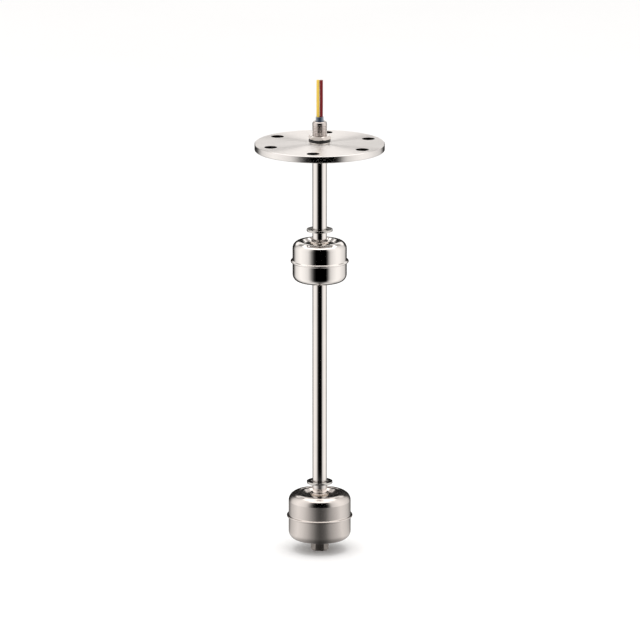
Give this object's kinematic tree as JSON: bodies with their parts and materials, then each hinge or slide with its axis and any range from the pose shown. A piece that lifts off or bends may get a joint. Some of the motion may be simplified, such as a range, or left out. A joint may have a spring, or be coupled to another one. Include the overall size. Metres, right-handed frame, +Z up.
{
  "type": "float level switch",
  "caption": "Stainless float level switch: a bolted flange carries a threaded neck with leads and a stem on which two floats slide between snap rings.",
  "frame": {"origin": "centre of the flange's underside, on the stem axis", "axes": "+Z up along the stem axis, from the floats to the neck; +X to the right when the ring openings are at the back (+Y)"},
  "size_m": [0.1075, 0.1074, 0.4007],
  "materials": {
    "turned_steel": "turned stainless steel",
    "neck_steel": "turned stainless steel",
    "washer_steel": "stamped stainless steel",
    "nut_steel": "turned stainless steel",
    "stem_steel": "polished stainless steel",
    "plug_steel": "turned stainless steel",
    "clip_steel": "stamped spring steel",
    "upper_float_steel": "mirror polished stainless steel",
    "lower_float_steel": "satin polished stainless steel",
    "bore_steel": "drawn stainless steel",
    "gasket_rubber": "moulded nitrile rubber",
    "board_laminate": "glass epoxy laminate",
    "potting_resin": "cast epoxy",
    "yellow_insulation": "extruded lead insulation",
    "red_insulation": "extruded lead insulation",
    "sleeve_plastic": "translucent sleeve",
    "reed_glass": "drawn glass",
    "reed_alloy": "plated nickel iron",
    "holder_nylon": "moulded nylon",
    "magnet_ferrite": "sintered ferrite"
  },
  "bodies": {
    "root": {"flange_plate": "turned_steel", "neck_fitting": "neck_steel", "flat_washer": "washer_steel", "rubber_gasket": "gasket_rubber", "lock_nut": "nut_steel", "stem_tube": "stem_steel", "end_plug": "plug_steel", "upper_top_clip": "clip_steel", "upper_bottom_clip": "clip_steel", "lower_top_clip": "clip_steel", "lower_bottom_clip": "clip_steel", "reed_board": "board_laminate", "upper_reed_glass": "reed_glass", "upper_reed_top_blade": "reed_alloy", "upper_reed_bottom_blade": "reed_alloy", "lower_reed_glass": "reed_glass", "lower_reed_top_blade": "reed_alloy", "lower_reed_bottom_blade": "reed_alloy", "neck_potting": "potting_resin", "yellow_wire": "yellow_insulation", "red_wire": "red_insulation", "lead_sleeve": "sleeve_plastic", "yellow_lead": "yellow_insulation", "red_lead": "red_insulation"},
    "upper_float": {"upper_float_top_shell": "upper_float_steel", "upper_float_bottom_shell": "upper_float_steel", "upper_float_bore_tube": "bore_steel", "upper_magnet_holder": "holder_nylon", "upper_ring_magnet": "magnet_ferrite"},
    "lower_float": {"lower_float_top_shell": "lower_float_steel", "lower_float_bottom_shell": "lower_float_steel", "lower_float_bore_tube": "bore_steel", "lower_magnet_holder": "holder_nylon", "lower_ring_magnet": "magnet_ferrite"}
  },
  "joints": [
    {"name": "upper_float_slide", "type": "slide", "parent": "root", "child": "upper_float", "axis": [0, 0, 1], "range_m": [0, 0.0084]},
    {"name": "lower_float_slide", "type": "slide", "parent": "root", "child": "lower_float", "axis": [0, 0, 1], "range_m": [0, 0.0078]}
  ]
}
